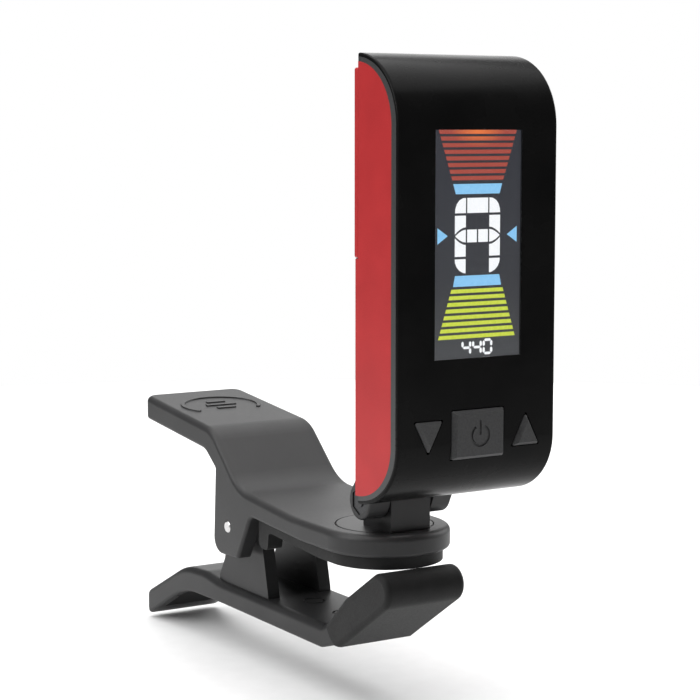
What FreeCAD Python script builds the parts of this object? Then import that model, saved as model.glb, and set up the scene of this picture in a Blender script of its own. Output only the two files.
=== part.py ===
"""Clip-on instrument tuner: a display head on a tilt-and-swivel hinge, carried by a sprung clip.

Frame: the origin is where the two jaw pads meet. +Z is up along the swivel axis, +Y runs from the
jaws back to the thumb lever, and +X is to the right of a reader who faces the display.
Millimetres throughout.
"""
import FreeCAD, Part
import math
import os

import Sketcher
from FreeCAD import Placement, Rotation, Vector

# Driving sizes: alias -> (value, what it is).
SIZES = {
    "head_width": (25.0, "width of the display head"),
    "head_height": (59.0, "height of the display head"),
    "head_depth": (10.15, "front face to back face"),
    "end_rise": (8.6, "height of the elliptic curve at the head's lower end"),
    "top_rise": (9.4, "height of the elliptic curve at the head's upper end"),
    "head_front": (-15.0, "Y of the front face"),
    "head_base": (11.0, "Z of the lower end of the head"),
    "cover_wall": (0.5, "thickness of the gloss front cover"),
    "bezel_wall": (1.1, "thickness of the bezel behind the cover"),
    "bezel_end_wall": (0.6, "thickness of the bezel at the ends"),
    "band_back": (9.45, "depth at which cover and bezel end"),
    "case_wall": (1.3, "wall of the rear case"),
    "side_round": (0.3, "rounding of the head's long edges"),
    "window_width": (13.7, "display window"),
    "window_height": (29.4, "display window"),
    "window_centre": (34.4, "height of the window's middle above the lower end"),
    "lcd_margin": (0.95, "module beyond the window on each side"),
    "lcd_depth": (2.0, "display module thickness"),
    "key_height": (9.7, "height of the key row above the lower end"),
    "power_width": (8.2, "power key at its foot"),
    "power_height": (6.4, "power key at its foot"),
    "arrow_width": (4.3, "arrow key at its foot"),
    "arrow_height": (4.2, "arrow key at its foot"),
    "arrow_pitch": (7.75, "arrow key from the middle"),
    "key_gap": (0.15, "gap between a key and its opening"),
    "key_proud": (0.65, "key above the front face"),
    "key_flange": (0.5, "flange that holds a key in"),
    "key_foot": (2.05, "depth of a key from the front face to its flange"),
    "key_draft": (0.42, "how far a key narrows to its face"),
    "engraving": (0.18, "depth of the power symbol"),
    "pad_depth": (2.8, "front of the key pad"),
    "board_width": (21.2, "circuit board"),
    "board_height": (47.0, "circuit board"),
    "board_depth": (3.5, "front of the circuit board"),
    "board_wall": (1.0, "circuit board thickness"),
    "cell_radius": (10.0, "coin cell"),
    "cell_wall": (3.2, "coin cell thickness"),
    "cell_centre": (45.0, "height of the cell above the lower end"),
    "cell_depth": (6.0, "front of the cell"),
    "door_base": (32.4, "lower end of the battery cover"),
    "door_top": (57.1, "upper end of the battery cover"),
    "door_depth": (9.5, "inner face of the battery cover"),
    "door_wall": (1.1, "battery cover thickness"),
    "hinge_y": (3.35, "tilt axis"),
    "hinge_z": (9.35, "tilt axis"),
    "hinge_radius": (2.6, "hinge knuckles"),
    "hinge_half": (6.8, "half the width over the knuckles"),
    "post_half": (3.2, "half the width of the swivel post"),
    "washer_gap": (0.4, "gap between post and knuckle"),
    "bolt_radius": (0.8, "hinge bolt"),
    "run_gap": (0.05, "radial clearance of a running fit"),
    "nut_flats": (3.2, "hinge nut across flats"),
    "nut_depth": (1.3, "hinge nut thickness"),
    "swivel_y": (7.5, "swivel axis"),
    "swivel_radius": (6.95, "swivel plate"),
    "swivel_wall": (1.25, "swivel plate thickness"),
    "stem_radius": (2.5, "swivel stem"),
    "lever_half": (8.8, "half the lever's width"),
    "lever_nose": (9.3, "radius of the lever's round front"),
    "lever_top": (4.9, "upper face of the lever at the jaw"),
    "lever_under": (1.8, "lower face of the lever at the jaw"),
    "ear_wall": (2.0, "thickness of every ear"),
    "jaw_half": (6.5, "half the width of the lower jaw"),
    "pin_y": (37.6, "clip pivot"),
    "pin_radius": (0.9, "clip pivot pin"),
    "ear_inset": (1.0, "lower jaw's ears inside the sides of its bar"),
    "pad_inset": (1.0, "upper pad inside the lever's edge"),
    "bar_top": (-10.4, "upper face of the lower jaw"),
    "bar_under": (-13.75, "lower face of the lower jaw"),
    "wire_radius": (0.5, "spring wire"),
    "coil_radius": (2.7, "spring coil at the wire's centre"),
    "coil_half": (3.0, "half the length of the coil"),
}

doc = FreeCAD.newDocument("ClipOnTuner")
sheet = doc.addObject("Spreadsheet::Sheet", "Sizes")
SUBPARTS = []


def fill_sheet():
    """Write every driving size into the spreadsheet, one per row, with its alias."""
    for row, (alias, (value, note)) in enumerate(SIZES.items(), start=1):
        sheet.set(f"A{row}", alias)
        sheet.set(f"B{row}", str(value))
        sheet.set(f"C{row}", note)
        sheet.setAlias(f"B{row}", alias)
    doc.recompute()


def size(alias):
    """The sheet's value of one driving size."""
    return float(sheet.get(alias))


# ---------------------------------------------------------------- helpers

def head_frame():
    """Local frame of the head: Y from the front face, Z from the lower end."""
    return Placement(Vector(0, size("head_front"), size("head_base")), Rotation())


def keep(obj, label, placement=None):
    """Register a finished sub-part under its node name."""
    obj.Label = label
    if placement is not None:
        obj.Placement = placement
    SUBPARTS.append(obj)
    return obj


def new_body(label, placement=None):
    body = doc.addObject("PartDesign::Body", label + "_body")
    return keep(body, label, placement)


def new_sketch(body, role, offset=None):
    """A sketch on one of the body's own origin planes, moved out along its normal by a sheet size."""
    sketch = body.newObject("Sketcher::SketchObject", "Sketch")
    plane = [item for item in body.Origin.OriginFeatures if item.Role == role][0]
    sketch.AttachmentSupport = [(plane, "")]
    sketch.MapMode = "FlatFace"
    if offset is not None:
        sketch.setExpression(".AttachmentOffset.Base.z", offset)
    return sketch


def rounded(sketch, corners):
    """Closed outline through corners (u, v, radius), each corner replaced by a tangent arc."""
    count = len(corners)
    stops = []
    for index in range(count):
        u, v, radius = corners[index]
        here = Vector(u, v, 0)
        back = Vector(*corners[index - 1][:2], 0) - here
        ahead = Vector(*corners[(index + 1) % count][:2], 0) - here
        back.normalize()
        ahead.normalize()
        if radius == 0:
            stops.append((here, None, here))
            continue
        half = math.acos(max(-1.0, min(1.0, back.dot(ahead)))) / 2
        reach = radius / math.tan(half)
        bisector = back + ahead
        bisector.normalize()
        middle = here + bisector * (radius / math.sin(half) - radius)
        stops.append((here + back * reach, middle, here + ahead * reach))
    for index in range(count):
        first, middle, last = stops[index]
        if middle is not None:
            sketch.addGeometry(Part.Arc(first, middle, last))
        following = stops[(index + 1) % count][0]
        if (following - last).Length > 1e-6:
            sketch.addGeometry(Part.LineSegment(last, following))


def circle(sketch, u, v, radius, expression=None):
    """A circle whose radius is a named constraint, bound to the sheet when an expression is given."""
    index = sketch.addGeometry(Part.Circle(Vector(u, v, 0), Vector(0, 0, 1), radius))
    number = sketch.addConstraint(Sketcher.Constraint("Radius", index, radius))
    if expression is not None:
        sketch.setExpression(f"Constraints[{number}]", expression)


def rectangle(sketch, u0, v0, u1, v1, radius=0.0):
    rounded(sketch, [(u0, v0, radius), (u1, v0, radius), (u1, v1, radius), (u0, v1, radius)])


def extrude(body, kind, sketch, length, both=False, reverse=False, taper=None):
    """A Pad or Pocket of a sketch, with its length bound to the sheet."""
    feature = body.newObject("PartDesign::" + kind, kind)
    feature.Profile = sketch
    feature.Reversed = reverse
    if both:
        feature.SideType = "Symmetric"
    feature.setExpression("Length", length)
    if taper is not None:
        feature.TaperAngle = taper
    doc.recompute()
    return feature


def pad(body, sketch, length, **options):
    return extrude(body, "Pad", sketch, length, **options)


def pocket(body, sketch, length, **options):
    """A Pocket that must remove material."""
    before = body.Shape.Volume
    feature = extrude(body, "Pocket", sketch, length, **options)
    if not feature.Shape.Volume < before - 1e-6:
        raise RuntimeError(f"{body.Label}: a pocket removed nothing")
    return feature


def fillet(body, feature, radius, chosen):
    """Round the edges of a feature that the chosen test accepts."""
    names = [f"Edge{number}" for number, edge in enumerate(feature.Shape.Edges, start=1) if chosen(edge)]
    rounding = body.newObject("PartDesign::Fillet", "Fillet")
    rounding.Base = (feature, names)
    rounding.setExpression("Radius", radius)
    doc.recompute()
    return rounding


def box(name, length, width, height, place):
    """A Part box with its three sizes as sheet expressions or numbers."""
    item = doc.addObject("Part::Box", name)
    for prop, value in (("Length", length), ("Width", width), ("Height", height)):
        item.setExpression(prop, str(value))
    item.Placement.Base = place
    return item


def cylinder(name, radius, height, place, axis=None):
    item = doc.addObject("Part::Cylinder", name)
    item.setExpression("Radius", str(radius))
    item.setExpression("Height", str(height))
    turn = Rotation() if axis is None else Rotation(Vector(0, 0, 1), axis)
    item.Placement = Placement(place, turn)
    return item


def fuse(name, parts):
    item = doc.addObject("Part::MultiFuse", name)
    item.Shapes = parts
    item.Refine = True
    return item


def cut(name, base, tool):
    item = doc.addObject("Part::Cut", name)
    item.Base = base
    item.Tool = tool
    return item


X_AXIS = Vector(1, 0, 0)
Y_AXIS = Vector(0, 1, 0)


# ---------------------------------------------------------------- head shells

def end_rise(top):
    """Height of the elliptic curve at the head's upper or lower end."""
    return size("top_rise") if top else size("end_rise")


def end_middle(top):
    """Height of the centre of the end ellipse."""
    return size("head_height") - size("top_rise") if top else size("end_rise")


def ellipse_end(sketch, front, end, back, top):
    """Elliptic end of the head's side profile, inset from the front and from the end face."""
    depth = size("head_depth")
    middle = end_middle(top)
    along = depth - front
    upward = end_rise(top) - end
    stop = math.acos((back - depth) / along)
    curve = Part.Ellipse(Vector(depth, middle, 0), along, upward)
    start, finish = (stop, math.pi) if top else (math.pi, 2 * math.pi - stop)
    sketch.addGeometry(Part.ArcOfEllipse(curve, start, finish))
    reach = upward * math.sin(stop)
    return Vector(back, middle + reach if top else middle - reach, 0)


def front_line(sketch, front):
    low = Vector(front, end_middle(False), 0)
    high = Vector(front, end_middle(True), 0)
    sketch.addGeometry(Part.LineSegment(low, high))


def band(sketch, outer, inner):
    """C-shaped strip between two inset profiles, open at the back."""
    back = size("band_back")
    tips = []
    for front, end in (outer, inner):
        front_line(sketch, front)
        tips.append((ellipse_end(sketch, front, end, back, True),
                     ellipse_end(sketch, front, end, back, False)))
    for outside, inside in zip(*tips):
        sketch.addGeometry(Part.LineSegment(outside, inside))


def key_openings(sketch, gap):
    """Outlines of the three key openings, seen from the front."""
    half_w = size("power_width") / 2 + gap
    half_h = size("power_height") / 2 + gap
    row = size("key_height")
    rectangle(sketch, -half_w, row - half_h, half_w, row + half_h, 0.3)
    for side, direction in ((-1, -1), (1, 1)):
        triangle(sketch, side * size("arrow_pitch"), row, direction, gap)


def triangle(sketch, middle, row, direction, grow, radius=0.2):
    """Arrow outline that points up (+1) or down (-1), grown by a gap on every side."""
    half = size("arrow_width") / 2
    tall = size("arrow_height")
    slant = math.hypot(half, tall)
    tip = tall / 2 + grow * slant / half
    foot = tall / 2 + grow
    side = half + grow * (slant + half) / tall
    corners = [(middle - side, row - foot * direction, radius),
               (middle + side, row - foot * direction, radius),
               (middle, row + tip * direction, radius)]
    rounded(sketch, corners)


def long_edge(edge):
    """True for the outer edges of the head's two side faces."""
    box_ = edge.BoundBox
    return abs(abs(box_.XMin) - size("head_width") / 2) < 1e-6 and box_.XLength < 1e-6


def make_front_cover():
    body = new_body("front_cover", head_frame())
    wall = size("cover_wall")
    sketch = new_sketch(body, "YZ_Plane")
    band(sketch, (0.0, 0.0), (wall, wall))
    shell = pad(body, sketch, "Sizes.head_width", both=True)

    def outer(edge):
        middle = edge.valueAt((edge.FirstParameter + edge.LastParameter) / 2)
        return long_edge(edge) and on_outer_profile(middle)

    fillet(body, shell, "Sizes.side_round", outer)
    openings = new_sketch(body, "XZ_Plane")
    half_w = size("window_width") / 2
    low = size("window_centre") - size("window_height") / 2
    rectangle(openings, -half_w, low, half_w, low + size("window_height"))
    key_openings(openings, size("key_gap"))
    pocket(body, openings, "Sizes.cover_wall * 4", both=True)


def on_outer_profile(point):
    """True for a point of the head's outer side profile."""
    depth = size("head_depth")
    if end_middle(False) - 1e-6 <= point.z <= end_middle(True) + 1e-6:
        return abs(point.y) < 1e-4
    top = point.z > size("head_height") / 2
    along = (point.y - depth) / depth
    upward = (point.z - end_middle(top)) / end_rise(top)
    value = along ** 2 + upward ** 2
    return abs(value - 1) < 1e-4


def make_front_bezel():
    body = new_body("front_bezel", head_frame())
    wall = size("cover_wall")
    sketch = new_sketch(body, "YZ_Plane")
    inner = (wall + size("bezel_wall"), wall + size("bezel_end_wall"))
    band(sketch, (wall, wall), inner)
    pad(body, sketch, "Sizes.head_width", both=True)
    openings = new_sketch(body, "XZ_Plane")
    grow = size("lcd_margin") + 0.1
    half_w = size("window_width") / 2 + grow
    half_h = size("window_height") / 2 + grow
    middle = size("window_centre")
    rectangle(openings, -half_w, middle - half_h, half_w, middle + half_h)
    key_openings(openings, size("key_gap"))
    pocket(body, openings, "Sizes.bezel_wall * 4", both=True)


def make_rear_case():
    """Red tub: solid profile, hollowed from the front, with a bay for the cell and a seat for its door."""
    body = new_body("rear_case", head_frame())
    depth = size("head_depth")
    height = size("head_height")
    front = size("cover_wall") + size("bezel_wall")
    end = size("cover_wall") + size("bezel_end_wall")
    wall = size("case_wall")
    sketch = new_sketch(body, "YZ_Plane")
    front_line(sketch, front)
    top = ellipse_end(sketch, front, end, depth, True)
    bottom = ellipse_end(sketch, front, end, depth, False)
    sketch.addGeometry(Part.LineSegment(top, bottom))
    pad(body, sketch, "Sizes.head_width", both=True)

    hollow = new_sketch(body, "YZ_Plane")
    inner_back = depth - wall
    top = ellipse_end(hollow, front + wall, end + wall, inner_back, True)
    bottom = ellipse_end(hollow, front + wall, end + wall, inner_back, False)
    high = end_middle(True)
    low = end_middle(False)
    chain = [Vector(front + wall, high, 0), Vector(front - 1, high, 0), Vector(front - 1, low, 0),
             Vector(front + wall, low, 0)]
    for first, last in zip(chain, chain[1:]):
        hollow.addGeometry(Part.LineSegment(first, last))
    hollow.addGeometry(Part.LineSegment(top, bottom))
    pocket(body, hollow, "Sizes.head_width - 2 * Sizes.case_wall", both=True)

    seat = new_sketch(body, "YZ_Plane")
    rectangle(seat, size("door_depth"), size("door_base"), depth + 1, height)
    pocket(body, seat, "Sizes.head_width + 2", both=True)

    bay = new_sketch(body, "XZ_Plane", "-(Sizes.door_depth - 1.2)")
    circle(bay, 0, size("cell_centre"), size("cell_radius") + 0.3, "Sizes.cell_radius + 0.3")
    pocket(body, bay, "3", reverse=False)

    holes = new_sketch(body, "XZ_Plane", "-(Sizes.head_depth - 3)")
    for across in (-BRACKET_SCREW_X, BRACKET_SCREW_X):
        circle(holes, across, BRACKET_SCREW_Z, 0.8)
    pocket(body, holes, "5")
    clear = new_sketch(body, "XZ_Plane")
    rectangle(clear, -10.8, 5.9, 10.8, 14.0)
    rectangle(clear, -10.8, 46.0, 10.8, 53.3)
    pocket(body, clear, "3.95")
    bosses = new_sketch(body, "XZ_Plane", "-(Sizes.board_depth + Sizes.board_wall)")
    for across, up in BOARD_SCREWS:
        circle(bosses, across, up, 1.5)
        circle(bosses, across, up, 0.7)
    pad(body, bosses, "4.5", reverse=True)


def make_battery_cover():
    """Sliding lid over the cell, as wide as the head, with three thumb ridges."""
    body = new_body("battery_cover", head_frame())
    inner = size("door_depth")
    outer = inner + size("door_wall")
    base = size("door_base") + 0.1
    sketch = new_sketch(body, "YZ_Plane")
    rectangle(sketch, inner, base, outer, size("door_top"), 0.25)
    plate = pad(body, sketch, "Sizes.head_width", both=True)
    fillet(body, plate, "0.35", lambda edge: long_edge(edge) and edge.BoundBox.YMin > outer - 1e-6)
    ridges = new_sketch(body, "YZ_Plane")
    for step in range(4):
        circle(ridges, outer, base + 3.0 + 1.4 * step, 0.3)
    pocket(body, ridges, "9", both=True)


# ---------------------------------------------------------------- display and electronics

def make_display():
    width = size("window_width")
    tall = size("window_height")
    low = size("window_centre") - tall / 2
    lens = box("Lens", "Sizes.window_width", "Sizes.cover_wall", "Sizes.window_height",
               Vector(-width / 2, 0, low))
    keep(lens, "display_lens")
    lens.Placement = head_frame().multiply(lens.Placement)
    margin = size("lcd_margin")
    module = box("Module", "Sizes.window_width + 2 * Sizes.lcd_margin", "Sizes.lcd_depth",
                 "Sizes.window_height + 2 * Sizes.lcd_margin",
                 Vector(-width / 2 - margin, size("cover_wall") + 0.03, low - margin))
    keep(module, "lcd_module")
    module.Placement = head_frame().multiply(module.Placement)


def make_circuit_board():
    body = new_body("circuit_board", head_frame())
    sketch = new_sketch(body, "XZ_Plane", "-Sizes.board_depth")
    half = size("board_width") / 2
    low = (size("head_height") - size("board_height")) / 2
    rectangle(sketch, -half, low, half, low + size("board_height"), 1.0)
    for across, up in BOARD_SCREWS:
        circle(sketch, across, up, 0.7)
    pad(body, sketch, "Sizes.board_wall", reverse=True)
    chips = new_sketch(body, "XZ_Plane", "-Sizes.board_depth - Sizes.board_wall")
    rectangle(chips, -4.0, 22.0, 4.0, 30.0, 0.2)
    rectangle(chips, 5.5, 24.0, 8.7, 27.0, 0.2)
    rectangle(chips, -6.6, 15.0, -4.2, 21.0, 0.2)
    pad(body, chips, "0.9", reverse=True)


def make_key_pad():
    """Silicone sheet with one raised plunger behind each key."""
    body = new_body("key_pad", head_frame())
    row = size("key_height")
    sketch = new_sketch(body, "XZ_Plane", "-Sizes.pad_depth")
    rectangle(sketch, -10.3, row - 3.4, 10.3, row + 4.0, 1.0)
    pad(body, sketch, "Sizes.board_depth - Sizes.pad_depth", reverse=True)
    hollows = new_sketch(body, "XZ_Plane", "-Sizes.board_depth")
    for across in (-size("arrow_pitch"), 0.0, size("arrow_pitch")):
        circle(hollows, across, row, 1.75)
    pocket(body, hollows, "0.42", reverse=True)


def make_switch_domes():
    """Three snap domes on the board, one behind each key."""
    domes = []
    for number, across in enumerate((-size("arrow_pitch"), 0.0, size("arrow_pitch"))):
        dome = doc.addObject("Part::Cone", f"Dome{number}")
        dome.Radius1 = 1.5
        dome.Radius2 = 0.8
        dome.Height = 0.4
        place = Vector(across, size("board_depth"), size("key_height"))
        dome.Placement = Placement(place, Rotation(Vector(0, 0, 1), -Y_AXIS))
        domes.append(dome)
    keep(fuse("Domes", domes), "switch_domes", head_frame())


def key_feet(body, outline):
    """Foot, flange and crown of a key: the flange sits behind the bezel, the crown stands proud."""
    foot = new_sketch(body, "XZ_Plane")
    outline(foot, 0.0)
    pad(body, foot, "Sizes.key_foot", reverse=True)
    flange = new_sketch(body, "XZ_Plane", "-Sizes.key_foot")
    outline(flange, size("key_flange"))
    pad(body, flange, "0.3", reverse=True)
    crown = new_sketch(body, "XZ_Plane")
    outline(crown, 0.0)
    draft = -math.degrees(math.atan(size("key_draft") / size("key_proud")))
    return pad(body, crown, "Sizes.key_proud", taper=draft)


def make_power_button():
    body = new_body("power_button", head_frame())
    row = size("key_height")

    def outline(sketch, grow):
        half_w = size("power_width") / 2 + grow
        half_h = size("power_height") / 2
        rectangle(sketch, -half_w, row - half_h, half_w, row + half_h, 0.25)

    key_feet(body, outline)
    symbol = new_sketch(body, "XZ_Plane", "Sizes.key_proud - Sizes.engraving")
    ring = 1.35
    line = 0.17
    opening = math.radians(32)
    centre = Vector(0, row - 0.15, 0)
    normal = Vector(0, 0, 1)
    start = math.pi / 2 + opening
    end = 2 * math.pi + math.pi / 2 - opening
    for radius in (ring - line, ring + line):
        symbol.addGeometry(Part.ArcOfCircle(Part.Circle(centre, normal, radius), start, end))
    for angle in (start, end):
        ray = Vector(math.cos(angle), math.sin(angle), 0)
        symbol.addGeometry(Part.LineSegment(centre + ray * (ring - line), centre + ray * (ring + line)))
    rectangle(symbol, -line, row - 0.1, line, row + ring + 0.55, line * 0.9)
    pocket(body, symbol, "1", reverse=True)


def make_arrow_button(label, side, direction):
    body = new_body(label, head_frame())

    def outline(sketch, grow):
        triangle(sketch, side * size("arrow_pitch"), size("key_height"), direction, grow)

    key_feet(body, outline)


def make_power_cell():
    up = size("cell_centre")
    front = size("cell_depth")
    can = cylinder("CellCan", "Sizes.cell_radius", "Sizes.cell_wall - 0.5",
                   Vector(0, front + 0.5, up), Y_AXIS)
    cap = cylinder("CellCap", "Sizes.cell_radius - 1.2", "0.5", Vector(0, front, up), Y_AXIS)
    cell = fuse("Cell", [can, cap])
    keep(cell, "coin_cell", head_frame())


def make_contacts():
    """Sprung strip under the cell, and a hooked strip at its rim."""
    gap = size("cell_depth") - size("board_depth") - size("board_wall")
    back = size("board_depth") + size("board_wall")
    up = size("cell_centre")
    foot = box("NegativeFoot", "5", "0.25", "3", Vector(-2.5, back, up - 5.5))
    leg = box("NegativeLeg", "5", str(gap), "0.25", Vector(-2.5, back, up - 2.75))
    tongue = box("NegativeTongue", "5", "0.25", "5", Vector(-2.5, size("cell_depth") - 0.25, up - 2.75))
    keep(fuse("Negative", [foot, leg, tongue]), "contact_negative", head_frame())
    rim = size("cell_radius")
    low = up - rim
    base = box("PositiveFoot", "6", "0.25", "3", Vector(-3, back, low - 3.3))
    wall = box("PositiveWall", "6", str(gap + 2.8), "0.25", Vector(-3, back, low - 0.3))
    keep(fuse("Positive", [base, wall]), "contact_positive", head_frame())


def make_piezo():
    """Vibration pickup: brass disc with a ceramic layer, held against the rear wall."""
    back = size("head_depth") - size("case_wall")
    brass = cylinder("PiezoBrass", "6", "0.3", Vector(0, back - 0.3, 16.0), Y_AXIS)
    ceramic = cylinder("PiezoCeramic", "4.2", "0.25", Vector(0, back - 0.55, 16.0), Y_AXIS)
    keep(fuse("Piezo", [brass, ceramic]), "piezo_disc", head_frame())


def screw(name, place, head_radius, head_wall, shank_radius, shank_length, axis):
    """Pan screw whose head's underside is at place and whose shank runs along axis."""
    head = cylinder(name + "Head", head_radius, head_wall, place - axis * head_wall, axis)
    shank = cylinder(name + "Shank", shank_radius, shank_length, place, axis)
    slots = [box(name + "SlotA", head_radius * 1.3, 0.35, 0.35, Vector()),
             box(name + "SlotB", 0.35, head_radius * 1.3, 0.35, Vector())]
    turn = Rotation(Vector(0, 0, 1), axis)
    top = place - axis * head_wall
    for slot, (wide, deep) in zip(slots, ((head_radius * 1.3, 0.35), (0.35, head_radius * 1.3))):
        corner = Placement(Vector(-wide / 2, -deep / 2, 0), Rotation())
        slot.Placement = Placement(top, turn).multiply(corner)
    solid = fuse(name + "Solid", [head, shank])
    return cut(name, solid, fuse(name + "Cross", slots))


def make_board_screws():
    """Four screws that hold the circuit board on the bosses of the rear case."""
    screws = []
    for number, (across, up) in enumerate(BOARD_SCREWS):
        place = Vector(across, size("board_depth"), up)
        screws.append(screw(f"BoardScrew{number}", place, 1.1, 0.5, 0.65, 3.0, Y_AXIS))
    keep(fuse("BoardScrews", screws), "board_screws", head_frame())


# ---------------------------------------------------------------- tilt hinge and swivel

def tangent(point, centre, radius, side):
    """Where a line from a point touches a circle; side +1 or -1 picks the touching point."""
    away = point - centre
    lean = math.acos(radius / away.Length)
    angle = math.atan2(away.y, away.x) + side * lean
    return centre + Vector(math.cos(angle), math.sin(angle), 0) * radius


def knuckle_outline(sketch, lower, upper, rest):
    """Closed outline around the hinge eye: lower point, round the eye, upper point, then the rest."""
    centre = Vector(size("hinge_y"), size("hinge_z"), 0)
    radius = size("hinge_radius")
    first = tangent(lower, centre, radius, 1)
    last = tangent(upper, centre, radius, -1)
    far = centre - (lower + upper) * 0.5
    middle = centre + far.normalize() * radius
    sketch.addGeometry(Part.LineSegment(lower, first))
    sketch.addGeometry(Part.Arc(first, middle, last))
    chain = [last, upper, *rest, lower]
    for start, end in zip(chain, chain[1:]):
        sketch.addGeometry(Part.LineSegment(start, end))


def make_hinge_bracket():
    """Plate on the head's back with two arms that end in the hinge knuckles."""
    body = new_body("hinge_bracket")
    back = size("head_front") + size("head_depth")
    base = size("head_base")
    axis_y = size("hinge_y")
    axis_z = size("hinge_z")
    plate = back + 1.25
    sketch = new_sketch(body, "YZ_Plane")
    foot = base + 3.2
    head = base + 12.0
    knuckle_outline(sketch, Vector(plate, base + 6.5, 0), Vector(plate, head, 0),
                    [Vector(back, head, 0), Vector(back, foot, 0), Vector(plate, foot, 0)])
    solid = pad(body, sketch, "2 * Sizes.hinge_half", both=True)

    def rim(edge):
        box_ = edge.BoundBox
        side = abs(abs(box_.XMin) - size("hinge_half")) < 1e-6 and box_.XLength < 1e-6
        return side and box_.YMax > plate + 0.01

    fillet(body, solid, "0.3", rim)
    slot = new_sketch(body, "YZ_Plane")
    rectangle(slot, plate, axis_z - 5, axis_y + 5, axis_z + 14)
    pocket(body, slot, "2 * (Sizes.post_half + Sizes.washer_gap)", both=True)
    bore = new_sketch(body, "YZ_Plane")
    circle(bore, axis_y, axis_z, 0.85, "Sizes.bolt_radius + Sizes.run_gap")
    pocket(body, bore, "2 * Sizes.hinge_half + 1", both=True)
    nut = new_sketch(body, "YZ_Plane", "-Sizes.hinge_half")
    hexagon(nut, axis_y, axis_z, size("nut_flats") / 2 + 0.08)
    pocket(body, nut, "Sizes.nut_depth + 0.25", reverse=True)
    sink = new_sketch(body, "YZ_Plane", "Sizes.hinge_half")
    circle(sink, axis_y, axis_z, 1.75)
    pocket(body, sink, "1.3")
    holes = new_sketch(body, "XZ_Plane", "-(Sizes.head_front + Sizes.head_depth + 3)")
    for across in (-BRACKET_SCREW_X, BRACKET_SCREW_X):
        circle(holes, across, base + BRACKET_SCREW_Z, 0.85)
    pocket(body, holes, "4", reverse=True)


def hexagon(sketch, u, v, apothem):
    """Hexagon with two corners straight above and below its middle."""
    reach = apothem / math.cos(math.pi / 6)
    angles = [math.pi / 2 + step * math.pi / 3 for step in range(6)]
    rounded(sketch, [(u + reach * math.cos(a), v + reach * math.sin(a), 0.0) for a in angles])


def make_bracket_screws():
    """Two screws through the bracket plate into the rear case."""
    back = size("head_front") + size("head_depth")
    screws = []
    for number, across in enumerate((-BRACKET_SCREW_X, BRACKET_SCREW_X)):
        place = Vector(across, back + 1.25, size("head_base") + BRACKET_SCREW_Z)
        screws.append(screw(f"BracketScrew{number}", place, 1.3, 0.6, 0.75, 3.0, Vector(0, -1, 0)))
    keep(fuse("BracketScrews", screws), "bracket_screws")


def make_hinge_hardware():
    """Cross bolt, its nut, and the two friction washers."""
    axis = Vector(0, size("hinge_y"), size("hinge_z"))
    half = size("hinge_half")
    shank = cylinder("BoltShank", "Sizes.bolt_radius", "2 * Sizes.hinge_half - 1.2",
                     axis - X_AXIS * half, X_AXIS)
    head = cylinder("BoltHead", "1.6", "1.1", axis + X_AXIS * (half - 1.3), X_AXIS)
    solid = fuse("BoltSolid", [shank, head])
    slot = box("BoltSlot", "1", "0.4", "4", axis + Vector(half - 0.7, -0.2, -2))
    keep(cut("Bolt", solid, slot), "hinge_bolt")

    nut = doc.addObject("Part::Prism", "NutBlank")
    nut.Polygon = 6
    nut.setExpression("Circumradius", "Sizes.nut_flats / 2 / cos(30)")
    nut.setExpression("Height", "Sizes.nut_depth")
    turn = Rotation(Vector(0, 0, 1), X_AXIS)
    nut.Placement = Placement(axis - X_AXIS * (half - 0.15), turn)
    bore = cylinder("NutBore", "Sizes.bolt_radius + 0.02", "3", axis - X_AXIS * (half + 0.5), X_AXIS)
    keep(cut("Nut", nut, bore), "hinge_nut")

    rings = []
    for number, start in enumerate((size("post_half") + 0.05, -size("post_half") - 0.4)):
        disc = cylinder(f"HingeRing{number}", "2.4", "0.35", axis + X_AXIS * start, X_AXIS)
        hole = cylinder(f"HingeRingHole{number}", "0.9", "1", axis + X_AXIS * (start - 0.3), X_AXIS)
        rings.append(cut(f"HingeWasher{number}", disc, hole))
    keep(fuse("HingeWashers", rings), "hinge_washers")


def make_swivel_post():
    """Round plate that turns in the lever, with its stem below and the hinge eye above."""
    body = new_body("swivel_post")
    middle = size("swivel_y")
    top = size("lever_top") + 0.05
    plate = new_sketch(body, "XY_Plane", "Sizes.lever_top - Sizes.swivel_wall + 0.05")
    circle(plate, 0, middle, size("swivel_radius"), "Sizes.swivel_radius")
    disc = pad(body, plate, "Sizes.swivel_wall")

    def upper_rim(edge):
        box_ = edge.BoundBox
        return box_.ZLength < 1e-6 and abs(box_.ZMin - top) < 1e-6

    fillet(body, disc, "0.25", upper_rim)
    stem = new_sketch(body, "XY_Plane", "Sizes.lever_top - Sizes.swivel_wall + 0.05")
    circle(stem, 0, middle, size("stem_radius"), "Sizes.stem_radius")
    pad(body, stem, "1.1", reverse=True)
    eye = new_sketch(body, "YZ_Plane")
    rear = size("hinge_y") + 4.6
    knuckle_post(eye, top, rear)
    pad(body, eye, "2 * Sizes.post_half", both=True)
    bore = new_sketch(body, "YZ_Plane")
    circle(bore, size("hinge_y"), size("hinge_z"), 0.85, "Sizes.bolt_radius + Sizes.run_gap")
    pocket(body, bore, "2 * Sizes.post_half + 1", both=True)
    thread = new_sketch(body, "XY_Plane", "Sizes.lever_under")
    circle(thread, 0, middle, 1.05)
    pocket(body, thread, "4.5", reverse=True)


def knuckle_post(sketch, low, rear):
    """Post outline: straight front under the eye, sloping rear."""
    centre = Vector(size("hinge_y"), size("hinge_z"), 0)
    radius = size("hinge_radius")
    front = centre - Vector(radius, 0, 0)
    foot = Vector(rear, low + 0.6, 0)
    last = tangent(foot, centre, radius, 1)
    middle = centre + Vector(-0.5, 0.8660254, 0) * radius
    sketch.addGeometry(Part.Arc(front, middle, last))
    chain = [last, foot, Vector(rear, low, 0), Vector(front.x, low, 0), front]
    for start, end in zip(chain, chain[1:]):
        sketch.addGeometry(Part.LineSegment(start, end))


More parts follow.
